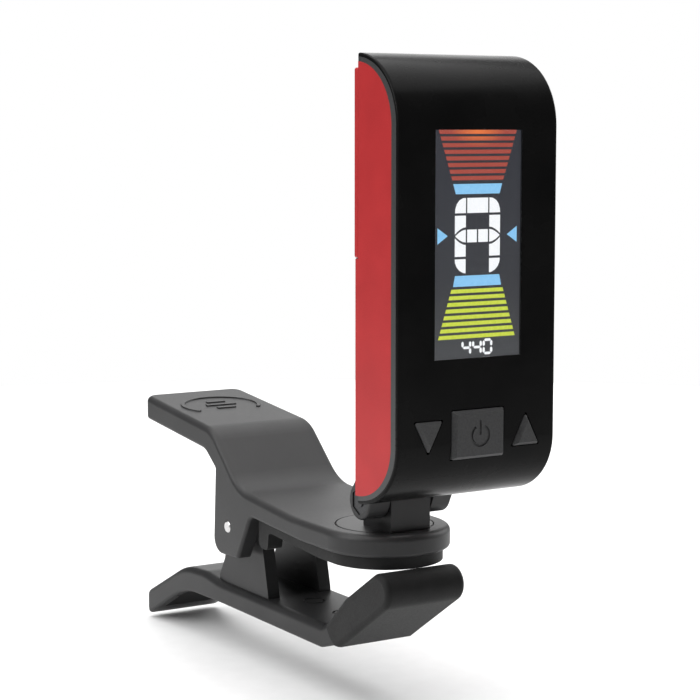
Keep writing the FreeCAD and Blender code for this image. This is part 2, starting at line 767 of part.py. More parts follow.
def make_swivel_fixings():
    """Friction washer and screw that hold the post down through the lever."""
    under = size("lever_under")
    centre = Vector(0, size("swivel_y"), under + 0.35)
    disc = cylinder("SwivelRing", "4", "0.4", centre)
    hole = cylinder("SwivelRingHole", "1.1", "1", centre - Vector(0, 0, 0.2))
    keep(cut("SwivelWasher", disc, hole), "swivel_washer")
    up = Vector(0, 0, 1)
    keep(screw("SwivelScrew", centre, 2.0, 0.9, 1.0, 3.8, up), "swivel_screw")


# ---------------------------------------------------------------- clip

def side_trim(body, corners, reach):
    """Cut away everything outside a side profile."""
    sketch = new_sketch(body, "YZ_Plane")
    rectangle(sketch, -reach, -reach, 2 * reach, reach)
    rounded(sketch, corners)
    return pocket(body, sketch, "40", both=True)


def nose_plan(sketch, nose, half, rear, corner):
    """Plan outline: round front about the swivel axis, tangent sides, rounded rear corners."""
    centre = Vector(0, size("swivel_y"), 0)
    right = Vector(half, rear - corner, 0)
    start = tangent(right, centre, nose, -1)
    mirror = Vector(-start.x, start.y, 0)
    sketch.addGeometry(Part.Arc(mirror, centre - Vector(0, nose, 0), start))
    sketch.addGeometry(Part.LineSegment(start, right))
    turn = math.sqrt(0.5) * corner
    ends = [Vector(half - corner, rear, 0), Vector(corner - half, rear, 0)]
    middles = [Vector(half - corner + turn, rear - corner + turn, 0),
               Vector(corner - half - turn, rear - corner + turn, 0)]
    left = Vector(-half, rear - corner, 0)
    sketch.addGeometry(Part.Arc(right, middles[0], ends[0]))
    sketch.addGeometry(Part.LineSegment(ends[0], ends[1]))
    sketch.addGeometry(Part.Arc(ends[1], middles[1], left))
    sketch.addGeometry(Part.LineSegment(left, mirror))


def outline_edge(edge):
    """True for an edge that follows the plan or side outline, not one straight across or straight up."""
    box_ = edge.BoundBox
    across = box_.YLength < 1e-6 and box_.ZLength < 1e-6 and box_.YMin < 66.9
    upright = box_.XLength < 1e-6 and box_.YLength < 1e-6
    return not across and not upright


def above_middle(edge):
    """True for an edge above the lever's mid-surface."""
    stations = [(-10.0, 3.4), (31.0, 3.4), (46.0, 12.8), (80.0, 16.2)]
    centre = edge.CenterOfMass
    for (y0, z0), (y1, z1) in zip(stations, stations[1:]):
        if y0 <= centre.y <= y1:
            return centre.z > z0 + (z1 - z0) * (centre.y - y0) / (y1 - y0)
    return False


def sharp_under(edge):
    """True for a lower outline edge, clear of the rounded upper rim."""
    box_ = edge.BoundBox
    return not above_middle(edge) and (box_.YLength > 1e-6 or box_.YMin > 66.9)


def make_upper_lever():
    """Upper lever: round front, thumb end, two outer ears, and the recess for the swivel plate."""
    body = new_body("upper_lever")
    top = size("lever_top")
    under = size("lever_under")
    half = size("lever_half")
    pin = size("pin_y")
    plan = new_sketch(body, "XY_Plane", "-6")
    nose_plan(plan, size("lever_nose"), half, 67.0, 2.0)
    pad(body, plan, "26")
    trimmed = side_trim(body, [
        (-4.0, under, 0.0), (-4.0, top, 0.0), (18.0, top, 40.0), (34.0, top + 1.36, 9.0),
        (42.9, 14.35, 6.5), (69.0, 17.15, 0.0), (69.0, 13.4, 0.0), (45.2, 10.95, 4.0),
        (41.7, 8.45, 0.4), (pin + 4.9, -4.7, 2.4), (pin - 3.1, -4.4, 1.0), (30.4, 2.7, 1.5),
        (15.0, under, 5.0),
    ], 40)
    upper = fillet(body, trimmed, "0.9", lambda edge: outline_edge(edge) and above_middle(edge))
    fillet(body, upper, "0.5", lambda edge: outline_edge(edge) and sharp_under(edge))
    gap = new_sketch(body, "YZ_Plane")
    rounded(gap, [(30.2, -8.0, 0.0), (30.2, 2.7, 0.3), (33.4, 4.5, 2.0), (41.6, 8.35, 0.0),
                  (50.0, 8.0, 0.0), (50.0, -8.0, 0.0)])
    pocket(body, gap, "2 * (Sizes.lever_half - Sizes.ear_wall)", both=True)
    recess = new_sketch(body, "XY_Plane", "Sizes.lever_top - Sizes.swivel_wall")
    circle(recess, 0, size("swivel_y"), 7.05, "Sizes.swivel_radius + 0.1")
    pocket(body, recess, "5", reverse=True)
    bore = new_sketch(body, "XY_Plane")
    circle(bore, 0, size("swivel_y"), 2.55, "Sizes.stem_radius + Sizes.run_gap")
    pocket(body, bore, "8", reverse=True)
    seat = new_sketch(body, "XY_Plane", "Sizes.lever_under - 1")
    circle(seat, 0, size("swivel_y"), 4.2)
    pocket(body, seat, "1.8", reverse=True)
    axle = new_sketch(body, "YZ_Plane")
    circle(axle, pin, 0, 0.95, "Sizes.pin_radius + Sizes.run_gap")
    pocket(body, axle, "30", both=True)
    notch = new_sketch(body, "XY_Plane", "5")
    rectangle(notch, 1.85, 39.5, 3.15, 45.5, 0.2)
    pocket(body, notch, "4.6", reverse=True)


def make_upper_pad():
    """Rubber sole: flat under the round front, with side rails that end in two lugs."""
    body = new_body("upper_jaw_pad")
    inset = size("pad_inset")
    under = size("lever_under")
    half = size("lever_half") - inset
    plan = new_sketch(body, "XY_Plane", "-4")
    nose_plan(plan, size("lever_nose") - inset, half, 30.4, 0.5)
    pad(body, plan, "6.2")
    side_trim(body, [
        (-4.0, under, 0.0), (-4.0, 0.0, 0.0), (12.0, 0.0, 30.0), (26.9, 0.9, 0.6),
        (27.2, -1.9, 0.9), (30.0, -1.9, 1.2), (30.0, 2.2, 0.0), (26.0, under + 0.35, 0.0),
        (15.0, under, 0.0),
    ], 40)
    channel = new_sketch(body, "XZ_Plane", "-60")
    rectangle(channel, -5.4, -6.0, 5.4, 1.0, 0.3)
    pocket(body, channel, "43", reverse=True)
    relief = new_sketch(body, "XY_Plane", "0.8")
    circle(relief, 0, size("swivel_y"), 2.6)
    pocket(body, relief, "3", reverse=True)


def jaw_rim(edge):
    """True for a long outline edge of the bar, clear of its joint with the rubber nose."""
    box_ = edge.BoundBox
    across = box_.YLength < 1e-6 and box_.ZLength < 1e-6 and box_.YMin < TAIL_END - 0.2
    upright = box_.XLength < 1e-6 and box_.YLength < 1e-6
    return not across and not upright and box_.YMin > 13.9


def bar_middle(y):
    """Height of the middle of the lower bar and its drooping tail."""
    level = (size("bar_top") + size("bar_under")) / 2
    return level if y < 55.0 else level - (y - 55.0) * 0.48


def make_lower_jaw():
    """Lower lever: bar, two inner ears, and the drooping, ribbed tail."""
    body = new_body("lower_jaw")
    pin = size("pin_y")
    top = size("bar_top")
    under = size("bar_under")
    half = size("jaw_half")
    bar = new_sketch(body, "YZ_Plane")
    rounded(bar, [
        (13.0, -10.0, 0.0), (14.0, top, 0.6), (45.0, top, 20.0), (50.5, -9.75, 6.0),
        (57.5, -10.1, 16.0), (73.0, -17.75, 0.0), (71.0, -21.0, 0.0), (57.6, -14.0, 18.0),
        (44.0, under, 20.0), (14.5, under - 0.1, 3.0), (10.5, -12.6, 0.0), (11.75, -11.7, 0.0),
    ])
    pad(body, bar, "2 * Sizes.jaw_half", both=True)
    plan = new_sketch(body, "XY_Plane", "-25")
    rounded(plan, [(-40, -20, 0), (40, -20, 0), (40, 90, 0), (-40, 90, 0)])
    rounded(plan, [(-half, -10, 0), (half, -10, 0), (half, TAIL_END, 1.6), (-half, TAIL_END, 1.6)])
    trimmed = pocket(body, plan, "40", reverse=True)

    def shoulder(edge):
        return jaw_rim(edge) and edge.BoundBox.ZMin > bar_middle(edge.CenterOfMass.y)

    def keel(edge):
        return jaw_rim(edge) and edge.BoundBox.ZMax < bar_middle(edge.CenterOfMass.y) + 0.6

    rounded_top = fillet(body, trimmed, "1.1", shoulder)
    fillet(body, rounded_top, "0.5", keel)
    ears = new_sketch(body, "YZ_Plane")
    rounded(ears, [
        (31.0, under + 1.0, 0.0), (31.4, -9.6, 0.0), (33.3, -1.5, 2.0), (34.6, 3.9, 2.2),
        (40.9, 3.9, 2.2), (42.2, -1.5, 3.0), (44.9, -6.2, 2.0), (46.8, -9.6, 0.0),
        (46.9, under + 1.0, 0.0),
    ])
    pad(body, ears, "2 * (Sizes.jaw_half - Sizes.ear_inset)", both=True)
    middle = new_sketch(body, "YZ_Plane")
    rectangle(middle, 30.0, top, 48.0, 5.0)
    pocket(body, middle, "2 * (Sizes.jaw_half - Sizes.ear_inset - Sizes.ear_wall)", both=True)
    axle = new_sketch(body, "YZ_Plane")
    circle(axle, pin, 0, 0.92, "Sizes.pin_radius + 0.02")
    pocket(body, axle, "30", both=True)
    hollow = new_sketch(body, "YZ_Plane")
    rounded(hollow, [(50.0, -22.0, 0.0), (50.0, -12.6, 1.0), (58.0, -12.9, 8.0), (67.4, -17.3, 0.8),
                     (67.4, -22.0, 0.0)])
    pocket(body, hollow, "2 * Sizes.jaw_half - 3", both=True)
    ribs = new_sketch(body, "YZ_Plane")
    for place in (53.5, 57.5, 61.5):
        drop = 0.0 if place < 56 else (place - 56) * 0.48
        rectangle(ribs, place, -13.6 - drop, place + 0.9, -12.2 - drop)
    pad(body, ribs, "2 * Sizes.jaw_half - 2", both=True)
    marks = new_sketch(body, "XY_Plane", "Sizes.bar_top")
    for place in (18.5, 27.0):
        for radius in (1.7, 1.35):
            circle(marks, 0, place, radius)
    pocket(body, marks, "0.2")


def make_lower_pad():
    """Rubber nose that rises to the upper pad."""
    body = new_body("lower_jaw_pad")
    nose = Vector(-0.85, -2.68, 0)
    radius = 2.6
    low = Vector(3.0, -8.35, 0)
    high = Vector(8.0, -5.35, 0)
    first = tangent(low, nose, radius, -1)
    last = tangent(high, nose, radius, 1)
    side = new_sketch(body, "YZ_Plane")
    side.addGeometry(Part.Arc(first, nose + Vector(-radius, 0.0, 0), last))
    chain = [last, high, Vector(13.0, -10.0, 0), Vector(11.75, -11.7, 0), Vector(10.5, -12.6, 0),
             Vector(9.6, -12.75, 0), low, first]
    for start, end in zip(chain, chain[1:]):
        side.addGeometry(Part.LineSegment(start, end))
    solid = pad(body, side, "2 * Sizes.jaw_half", both=True)

    def rim(edge):
        box_ = edge.BoundBox
        flat = box_.XLength < 1e-6 and abs(abs(box_.XMin) - size("jaw_half")) < 1e-6
        seam = box_.YMin > 10.4 or (box_.YMin > 9.5 and box_.ZMax < -12.5)
        return flat and not seam

    fillet(body, solid, "0.8", rim)


def make_pivot():
    """Steel pin through the four ears."""
    reach = size("lever_half") + 0.35
    pin = cylinder("PinRod", "Sizes.pin_radius", "2 * Sizes.lever_half + 0.7",
                   Vector(-reach, size("pin_y"), 0), X_AXIS)
    ends = doc.addObject("Part::Chamfer", "PinEnds")
    ends.Base = pin
    doc.recompute()
    rims = [number for number, edge in enumerate(pin.Shape.Edges, start=1) if edge.Closed]
    ends.Edges = [(number, 0.15, 0.15) for number in rims]
    keep(ends, "pivot_pin")


def make_spring():
    """Torsion spring: coil on the pin, one leg up to the lever, one leg down to the bar."""
    radius = size("coil_radius")
    wire = size("wire_radius")
    half = size("coil_half") - wire
    low_angle = math.radians(-34.0)
    high_angle = math.radians(43.5)
    low = Vector(0, math.cos(low_angle), math.sin(low_angle))
    high = Vector(0, math.cos(high_angle), math.sin(high_angle))
    low_out = Vector(0, low.z, -low.y)
    high_out = Vector(0, -high.z, high.y)
    centre = Vector(0, size("pin_y"), 0)
    start = centre - X_AXIS * half + low_out * radius
    finish = centre + X_AXIS * half + high_out * radius
    turns = 4 + (math.pi + low_angle - high_angle) / (2 * math.pi)

    helix = doc.addObject("Part::Helix", "SpringPath")
    helix.Radius = radius
    helix.Pitch = 2 * half / turns
    helix.Height = 2 * half
    helix.LocalCoord = "Left-handed"
    turned = Rotation(low_out, X_AXIS.cross(low_out), X_AXIS, "ZXY")
    helix.Placement = Placement(centre - X_AXIS * half, turned)
    section = doc.addObject("Part::Circle", "SpringWire")
    section.setExpression("Radius", "Sizes.wire_radius")
    section.Placement = Placement(start, Rotation(Vector(0, 0, 1), low * -1))
    coil = doc.addObject("Part::Sweep", "SpringCoil")
    coil.Sections = [section]
    coil.Spine = (helix, [])
    coil.Solid = True
    coil.Frenet = True
    lower = cylinder("SpringLowerLeg", "Sizes.wire_radius", "13.4", start, low)
    upper = cylinder("SpringUpperLeg", "Sizes.wire_radius", "7.9", finish, high)
    keep(fuse("Spring", [coil, lower, upper]), "torsion_spring")


# Y of the tail's end.
TAIL_END = 71.9

# Head-frame X and Z of the screws, outside the sheet because they come in pairs.
BRACKET_SCREW_X = 2.05
BRACKET_SCREW_Z = 5.6
BOARD_SCREWS = [(-9.3, 17.5), (9.3, 17.5), (-9.3, 33.5), (9.3, 33.5)]


def check(obj):
    """Stop on an object that failed to compute or is not one valid shape."""
    if "Invalid" in obj.State or "Error" in obj.State:
        raise RuntimeError(f"{obj.Label}: {obj.State}")
    if obj.isDerivedFrom("Part::Feature") and (obj.Shape.isNull() or not obj.Shape.isValid()):
        raise RuntimeError(f"{obj.Label}: shape is null or invalid")


fill_sheet()
make_front_cover()
make_front_bezel()
make_rear_case()
make_battery_cover()
make_display()
make_circuit_board()
make_key_pad()
make_switch_domes()
make_power_button()
make_arrow_button("down_button", -1, -1)
make_arrow_button("up_button", 1, 1)
make_power_cell()
make_contacts()
make_piezo()
make_board_screws()
make_hinge_bracket()
make_bracket_screws()
make_hinge_hardware()
make_swivel_post()
make_swivel_fixings()
make_upper_lever()
make_upper_pad()
make_lower_jaw()
make_lower_pad()
make_pivot()
make_spring()
doc.recompute()

for item in doc.Objects:
    if item.TypeId != "Spreadsheet::Sheet":
        check(item)

os.makedirs("parts", exist_ok=True)
for item in SUBPARTS:
    solid = item.Shape
    print(f"{item.Label:18s} {len(solid.Solids)} solid(s) {solid.Volume:10.2f} mm3")
    solid.exportStep(f"parts/{item.Label}.step")
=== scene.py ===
import math

import bmesh
import bpy
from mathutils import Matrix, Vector


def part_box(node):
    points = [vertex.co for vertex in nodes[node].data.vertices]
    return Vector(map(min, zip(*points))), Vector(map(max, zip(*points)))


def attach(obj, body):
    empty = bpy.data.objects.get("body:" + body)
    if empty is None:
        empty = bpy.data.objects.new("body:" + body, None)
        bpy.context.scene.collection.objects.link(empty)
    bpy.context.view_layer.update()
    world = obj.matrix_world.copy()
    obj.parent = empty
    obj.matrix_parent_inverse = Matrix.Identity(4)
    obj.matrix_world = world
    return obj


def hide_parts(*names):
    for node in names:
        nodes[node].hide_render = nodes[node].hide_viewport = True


MM = 0.001
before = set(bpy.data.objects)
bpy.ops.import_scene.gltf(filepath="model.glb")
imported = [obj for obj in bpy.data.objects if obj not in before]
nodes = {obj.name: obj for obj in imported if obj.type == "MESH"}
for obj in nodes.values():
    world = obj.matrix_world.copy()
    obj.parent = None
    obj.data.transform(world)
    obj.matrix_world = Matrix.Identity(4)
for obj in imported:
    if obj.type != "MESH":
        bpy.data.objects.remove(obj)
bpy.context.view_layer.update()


def add_object(name, data):
    """Put a mesh, curve, light or camera into the scene."""
    obj = bpy.data.objects.new(name, data)
    bpy.context.scene.collection.objects.link(obj)
    return obj


# ------------------------------------------------------------------ materials

class Shader:
    """A Principled material with helpers for object-space procedural detail."""

    def __init__(self, name):
        self.mat = bpy.data.materials.new(name)
        self.mat.use_nodes = True
        self.tree = self.mat.node_tree
        self.bsdf = self.tree.nodes["Principled BSDF"]
        self.coords = self.tree.nodes.new("ShaderNodeTexCoord")
        self.normal = None

    def node(self, kind, **sockets):
        item = self.tree.nodes.new(kind)
        for key, value in sockets.items():
            item.inputs[key.replace("_", " ")].default_value = value
        return item

    def link(self, start, end):
        self.tree.links.new(start, end)

    def set(self, **sockets):
        for key, value in sockets.items():
            self.bsdf.inputs[key.replace("_", " ")].default_value = value

    def scaled(self, stretch):
        mapping = self.node("ShaderNodeMapping")
        mapping.inputs["Scale"].default_value = stretch
        self.link(self.coords.outputs["Object"], mapping.inputs["Vector"])
        return mapping.outputs["Vector"]

    def noise(self, size_mm, detail=3.0, rough=0.55, stretch=(1, 1, 1)):
        """Noise whose grain is about size_mm across."""
        scale = 1.0 / (size_mm * MM)
        item = self.node("ShaderNodeTexNoise", Scale=scale, Detail=detail, Roughness=rough)
        self.link(self.scaled(stretch), item.inputs["Vector"])
        return item.outputs["Fac"]

    def vector_math(self, operation, first, second=None):
        item = self.node("ShaderNodeVectorMath")
        item.operation = operation
        self.link(first, item.inputs[0])
        if second is not None:
            item.inputs[1].default_value = second
        return item

    def ramp(self, factor, stops):
        item = self.tree.nodes.new("ShaderNodeValToRGB")
        elements = item.color_ramp.elements
        while len(elements) < len(stops):
            elements.new(0.5)
        for element, (position, colour) in zip(elements, stops):
            element.position = position
            element.color = (*colour, 1.0)
        self.link(factor, item.inputs["Fac"])
        return item.outputs["Color"]

    def colour(self, factor, dark, light, low=0.35, high=0.65):
        """Base colour that runs from dark to light with the factor."""
        self.link(self.ramp(factor, [(low, dark), (high, light)]), self.bsdf.inputs["Base Color"])

    def map_range(self, factor, from_min, from_max, to_min=0.0, to_max=1.0):
        item = self.node("ShaderNodeMapRange", From_Min=from_min, From_Max=from_max,
                         To_Min=to_min, To_Max=to_max)
        self.link(factor, item.inputs["Value"])
        return item.outputs["Result"]

    def roughness(self, factor, low, high):
        """Roughness that follows the middle of a noise's range."""
        self.link(self.map_range(factor, 0.3, 0.7, low, high), self.bsdf.inputs["Roughness"])

    def glow(self, colour, strength=1.0):
        """Emission, for the display."""
        self.link(colour, self.bsdf.inputs["Emission Color"])
        self.set(Emission_Strength=strength)

    def bump(self, factor, height_mm, strength=1.0):
        """Relief on top of any relief added before."""
        item = self.node("ShaderNodeBump", Strength=strength, Distance=height_mm * MM)
        self.link(factor, item.inputs["Height"])
        if self.normal is not None:
            self.link(self.normal, item.inputs["Normal"])
        self.normal = item.outputs["Normal"]
        self.link(self.normal, self.bsdf.inputs["Normal"])


def charcoal(level):
    """Near-black with a trace of blue."""
    return (level, level, level + 0.0005)


def gloss_black():
    """Polished cover: deep black, faint finger smudges, a slight orange peel."""
    shader = Shader("gloss_black")
    smudge = shader.noise(9.0, detail=4.0)
    shader.colour(smudge, (0.0046, 0.0046, 0.0047), (0.0062, 0.0061, 0.0061))
    shader.roughness(smudge, 0.2, 0.3)
    shader.bump(shader.noise(0.35, detail=2.0), 0.0025, 0.35)
    shader.set(Specular_IOR_Level=0.05, Coat_Weight=0.02, Coat_Roughness=0.1)
    return shader.mat


def satin_grey():
    shader = Shader("satin_grey")
    grain = shader.noise(0.22)
    shader.colour(grain, (0.030, 0.030, 0.031), (0.044, 0.044, 0.045))
    shader.roughness(grain, 0.32, 0.44)
    shader.bump(grain, 0.006, 0.5)
    shader.set(Specular_IOR_Level=0.3)
    return shader.mat


def satin_red():
    """Painted tub: cloudy red with fine sparkle in it."""
    shader = Shader("satin_red")
    flake = shader.noise(0.09, detail=2.0)
    cloud = shader.noise(6.0, detail=2.0)
    tint = shader.ramp(cloud, [(0.3, (0.34, 0.016, 0.018)), (0.7, (0.39, 0.020, 0.022))])
    spark = shader.ramp(flake, [(0.42, (0.0, 0.0, 0.0)), (0.72, (0.10, 0.018, 0.018))])
    mix = shader.node("ShaderNodeMix")
    mix.data_type = "RGBA"
    mix.blend_type = "ADD"
    mix.inputs["Factor"].default_value = 1.0
    shader.link(tint, mix.inputs["A"])
    shader.link(spark, mix.inputs["B"])
    shader.link(mix.outputs["Result"], shader.bsdf.inputs["Base Color"])
    shader.roughness(flake, 0.36, 0.46)
    shader.bump(flake, 0.004, 0.5)
    shader.set(Metallic=0.12, Specular_IOR_Level=0.2, Coat_Weight=0.03, Coat_Roughness=0.25)
    return shader.mat


def moulded_black(name, dark, light, rough, specular, grain_mm=0.13, height=0.012):
    """Charcoal plastic with a fine eroded texture and faint handling wear."""
    shader = Shader(name)
    grain = shader.noise(grain_mm, detail=4.0, rough=0.65)
    wear = shader.noise(7.0, detail=4.0)
    shader.colour(wear, charcoal(dark), charcoal(light), 0.3, 0.75)
    shader.roughness(grain, rough - 0.07, rough + 0.07)
    shader.bump(grain, height, 0.7)
    shader.bump(wear, 0.02, 0.25)
    shader.set(Specular_IOR_Level=specular)
    return shader.mat


def rubber():
    shader = Shader("pad_rubber")
    grain = shader.noise(0.3, detail=5.0, rough=0.7)
    mottle = shader.noise(4.0)
    shader.colour(mottle, (0.008, 0.008, 0.008), (0.012, 0.012, 0.012))
    shader.roughness(grain, 0.52, 0.68)
    shader.bump(grain, 0.02, 0.55)
    shader.set(Specular_IOR_Level=0.16, Sheen_Weight=0.08, Sheen_Roughness=0.5)
    return shader.mat


def brushed_steel(name, dark, light, stretch=(1, 1, 14)):
    shader = Shader(name)
    lines = shader.noise(0.6, detail=4.0, stretch=stretch)
    shader.colour(lines, dark, light)
    shader.roughness(lines, 0.24, 0.4)
    shader.bump(lines, 0.003, 0.4)
    shader.set(Metallic=1.0)
    return shader.mat


def keypad():
    shader = Shader("key_rubber")
    grain = shader.noise(0.28, detail=4.0, rough=0.6)
    shader.colour(grain, (0.036, 0.036, 0.037), (0.052, 0.052, 0.053))
    shader.roughness(grain, 0.42, 0.58)
    shader.bump(grain, 0.018, 0.7)
    shader.set(Specular_IOR_Level=0.25)
    return shader.mat


def circuit_green():
    """Solder mask over copper tracks, as a pattern of cells."""
    shader = Shader("circuit_green")
    tracks = shader.node("ShaderNodeTexVoronoi", Scale=900.0)
    tracks.distance = "MANHATTAN"
    tracks.feature = "DISTANCE_TO_EDGE"
    shader.link(shader.scaled((1, 1, 1)), tracks.inputs["Vector"])
    shader.colour(tracks.outputs["Distance"], (0.03, 0.2, 0.07), (0.01, 0.09, 0.03), 0.03, 0.09)
    shader.bump(tracks.outputs["Distance"], 0.02, 0.3)
    shader.set(Roughness=0.35)
    return shader.mat


def brass():
    shader = Shader("brass_disc")
    lines = shader.noise(1.2, detail=5.0, stretch=(1, 1, 4))
    shader.colour(lines, (0.56, 0.36, 0.13), (0.78, 0.56, 0.25))
    shader.roughness(lines, 0.25, 0.42)
    shader.set(Metallic=1.0)
    return shader.mat


def clear_pane():
    shader = Shader("clear_pane")
    smear = shader.noise(8.0)
    shader.roughness(smear, 0.02, 0.06)
    shader.set(Base_Color=(0.93, 0.94, 0.96, 1.0), Transmission_Weight=1.0, IOR=1.42)
    shader.set(Specular_IOR_Level=0.15)
    return shader.mat


def display_back():
    """Unlit display: dark blue-grey with the backlight leaking in from the lower end."""
    shader = Shader("display_back")
    split = shader.node("ShaderNodeSeparateXYZ")
    shader.link(shader.coords.outputs["Object"], split.inputs["Vector"])
    height = shader.map_range(split.outputs["Z"], 30.0 * MM, 61.0 * MM)
    leak = [(0.0, (0.068, 0.070, 0.073)), (0.3, (0.040, 0.041, 0.046)), (1.0, (0.029, 0.031, 0.040))]
    shader.glow(shader.ramp(height, leak))
    shader.set(Base_Color=(0.01, 0.01, 0.012, 1.0), Roughness=0.5)
    mesh = shader.noise(0.12, detail=1.0)
    shader.bump(mesh, 0.002, 0.2)
    return shader.mat


def lit(name, dark, light, strength=1.0, grain_mm=0.5):
    """A lit display segment with the slight unevenness of its backlight."""
    shader = Shader(name)
    patch = shader.noise(grain_mm)
    shader.glow(shader.ramp(patch, [(0.3, dark), (0.7, light)]), strength)
    shader.set(Base_Color=(0.02, 0.02, 0.02, 1.0), Roughness=0.6)
    return shader.mat


def lit_warm(name, edge, core):
    """Red bars that turn orange towards a warm spot in the middle of the top row."""
    warm_spot = (0.0, -14.6 * MM, 60.2 * MM)
    falloff = (220.0, 0.0, 420.0)
    shader = Shader(name)
    offset = shader.vector_math("SUBTRACT", shader.coords.outputs["Object"], warm_spot)
    stretched = shader.vector_math("MULTIPLY", offset.outputs["Vector"], falloff)
    distance = shader.vector_math("LENGTH", stretched.outputs["Vector"])
    shader.glow(shader.ramp(distance.outputs["Value"], [(0.05, core), (0.95, edge)]))
    shader.set(Base_Color=(0.02, 0.01, 0.01, 1.0), Roughness=0.6)
    return shader.mat


MATERIALS = {
    "front_cover": gloss_black(),
    "front_bezel": satin_grey(),
    "rear_case": satin_red(),
    "lever": moulded_black("moulded_black", dark=0.018, light=0.024, rough=0.46, specular=0.34),
    "bracket": moulded_black("hinge_black", dark=0.014, light=0.020, rough=0.42, specular=0.3),
    "jaw": moulded_black("jaw_black", dark=0.015, light=0.022, rough=0.42, specular=0.25),
    "rubber": rubber(),
    "steel": brushed_steel("brushed_steel", (0.52, 0.52, 0.53), (0.7, 0.69, 0.67)),
    "dark_steel": brushed_steel("black_oxide", (0.035, 0.035, 0.037), (0.06, 0.06, 0.062)),
    "key": keypad(),
    "board": circuit_green(),
    "brass": brass(),
    "display": display_back(),
}
NODES_BY_MATERIAL = {
    "front_cover": ["front_cover"],
    "front_bezel": ["front_bezel"],
    "rear_case": ["rear_case", "battery_cover"],
    "lever": ["upper_lever"],
    "bracket": ["hinge_bracket", "swivel_post"],
    "jaw": ["lower_jaw"],
    "rubber": ["key_pad", "upper_jaw_pad", "lower_jaw_pad"],
    "steel": ["switch_domes", "coin_cell", "contact_positive", "contact_negative", "board_screws",
              "bracket_screws", "swivel_washer", "swivel_screw", "pivot_pin", "torsion_spring"],
    "dark_steel": ["hinge_bolt", "hinge_nut", "hinge_washers"],
    "key": ["power_button", "down_button", "up_button"],
    "board": ["circuit_board"],
    "brass": ["piezo_disc"],
    "display": ["lcd_module"],
}
for key, names in NODES_BY_MATERIAL.items():
    for name in names:
        nodes[name].data.materials.clear()
        nodes[name].data.materials.append(MATERIALS[key])


# ------------------------------------------------------------------ mesh helpers

def piece(name, body, material, bm):
    """Turn a bmesh in millimetres into a flat-shaded piece that rides on a body."""
    mesh = bpy.data.meshes.new(name)
    bmesh.ops.scale(bm, vec=(MM, MM, MM), verts=bm.verts)
    bmesh.ops.recalc_face_normals(bm, faces=bm.faces)
    bm.to_mesh(mesh)
    bm.free()
    mesh.materials.append(material)
    obj = add_object(name, mesh)
    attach(obj, body)
    return obj


def plate(bm, outline, front, back):
    """Closed plate over an outline of (x, z) points, from y = front to y = back."""
    near = [bm.verts.new((x, front, z)) for x, z in outline]
    far = [bm.verts.new((x, back, z)) for x, z in outline]
    count = len(outline)
    bm.faces.new(near)
    bm.faces.new(list(reversed(far)))
    for index in range(count):
        after = (index + 1) % count
        bm.faces.new((near[after], near[index], far[index], far[after]))


def mirrored(outline):
    return [(-x, z) for x, z in reversed(outline)]


# ------------------------------------------------------------------ display

HEAD_Z = 12.0           # heights below are in the head's own frame, which starts this far up
GLASS_FRONT = -15.0
GLASS_BACK = -14.66
GLASS_CHAMFER = 0.06
GRAPHIC_FRONT = -14.54
GRAPHIC_BACK = -14.5


def graphics(name, material, outlines):
    """One piece of the display, made of thin plates."""
    bm = bmesh.new()
    for outline in outlines:
        plate(bm, [(x, z + HEAD_Z) for x, z in outline], GRAPHIC_FRONT, GRAPHIC_BACK)
    return piece(name, "head", material, bm)


def bars(top, bottom, half_top, half_bottom, count=8, tall=0.52):
    """Stack of bars whose ends lie on two slanted lines."""
    slope = (half_bottom - half_top) / (bottom - top)
    outlines = []
    for index in range(count):
        middle = top + (bottom - top) * index / (count - 1)
        upper = middle + tall / 2
        lower = middle - tall / 2
        wide = half_top + slope * (upper - top)
        narrow = half_top + slope * (lower - top)
        outlines.append([(-narrow, lower), (narrow, lower), (wide, upper), (-wide, upper)])
    return outlines


def letter_a():
    """Segmented capital A of the note display: a ring of segments with a lens-shaped crossbar."""
    top, tall, thick, gap = 39.4, 9.8, 1.94, 0.32
    outer, inner, rim = 3.55, 1.87, 3.5
    centre, post = 0.13, 1.62
    middle = top - tall / 2
    lens = [(inner, 0.82), (2.3, 0.75), (2.8, 0.52), (3.2, 0.25), (rim, 0.0)]
    lens_half = lens[0][1]
    shapes = [[(-1.63, top - thick), (1.63, top - thick), (1.63, top), (-1.63, top)]]
    for left, right in ((-post, -centre), (centre, post)):
        low, high = middle - lens_half, middle + lens_half
        shapes.append([(left, low), (right, low), (right, high), (left, high)])
    corner = [(inner, top), (2.35, top - 0.04), (2.9, top - 0.32), (3.28, top - 0.8), (rim, top - 1.4),
              (outer, top - thick), (inner, top - thick)]
    curve = [(x, rise + gap) for x, rise in lens[:-1]] + [(outer, 0.26)]
    upper = [(inner, top - thick - gap)] + [(x, middle + rise) for x, rise in curve]
    upper.append((outer, top - thick - gap))
    lower = [(inner, top - tall + thick + gap)] + [(x, middle - rise) for x, rise in curve]
    lower.append((outer, top - tall + thick + gap))
    point = [(x, middle + rise) for x, rise in lens]
    point += [(x, middle - rise) for x, rise in reversed(lens[:-1])]
    foot = [(inner, top - tall + thick), (outer, top - tall + thick), (rim, top - 8.35), (3.25, top - 8.9),
            (2.8, top - 9.36), (2.25, top - 9.64), (inner, top - 9.7)]
    for shape in (corner, upper, lower, point, foot):
        shapes.append(shape)
        shapes.append(mirrored(shape))
    return shapes


def segment(start, end, width):
    """Six-sided bar between two points, as in a segmented digit."""
    a, b = Vector(start), Vector(end)
    along = (b - a).normalized()
    side = Vector((-along.y, along.x)) * width / 2
    tip = along * width / 2
    points = [a, a + tip + side, b - tip + side, b, b - tip - side, a + tip - side]
    return [(p.x, p.y) for p in points]


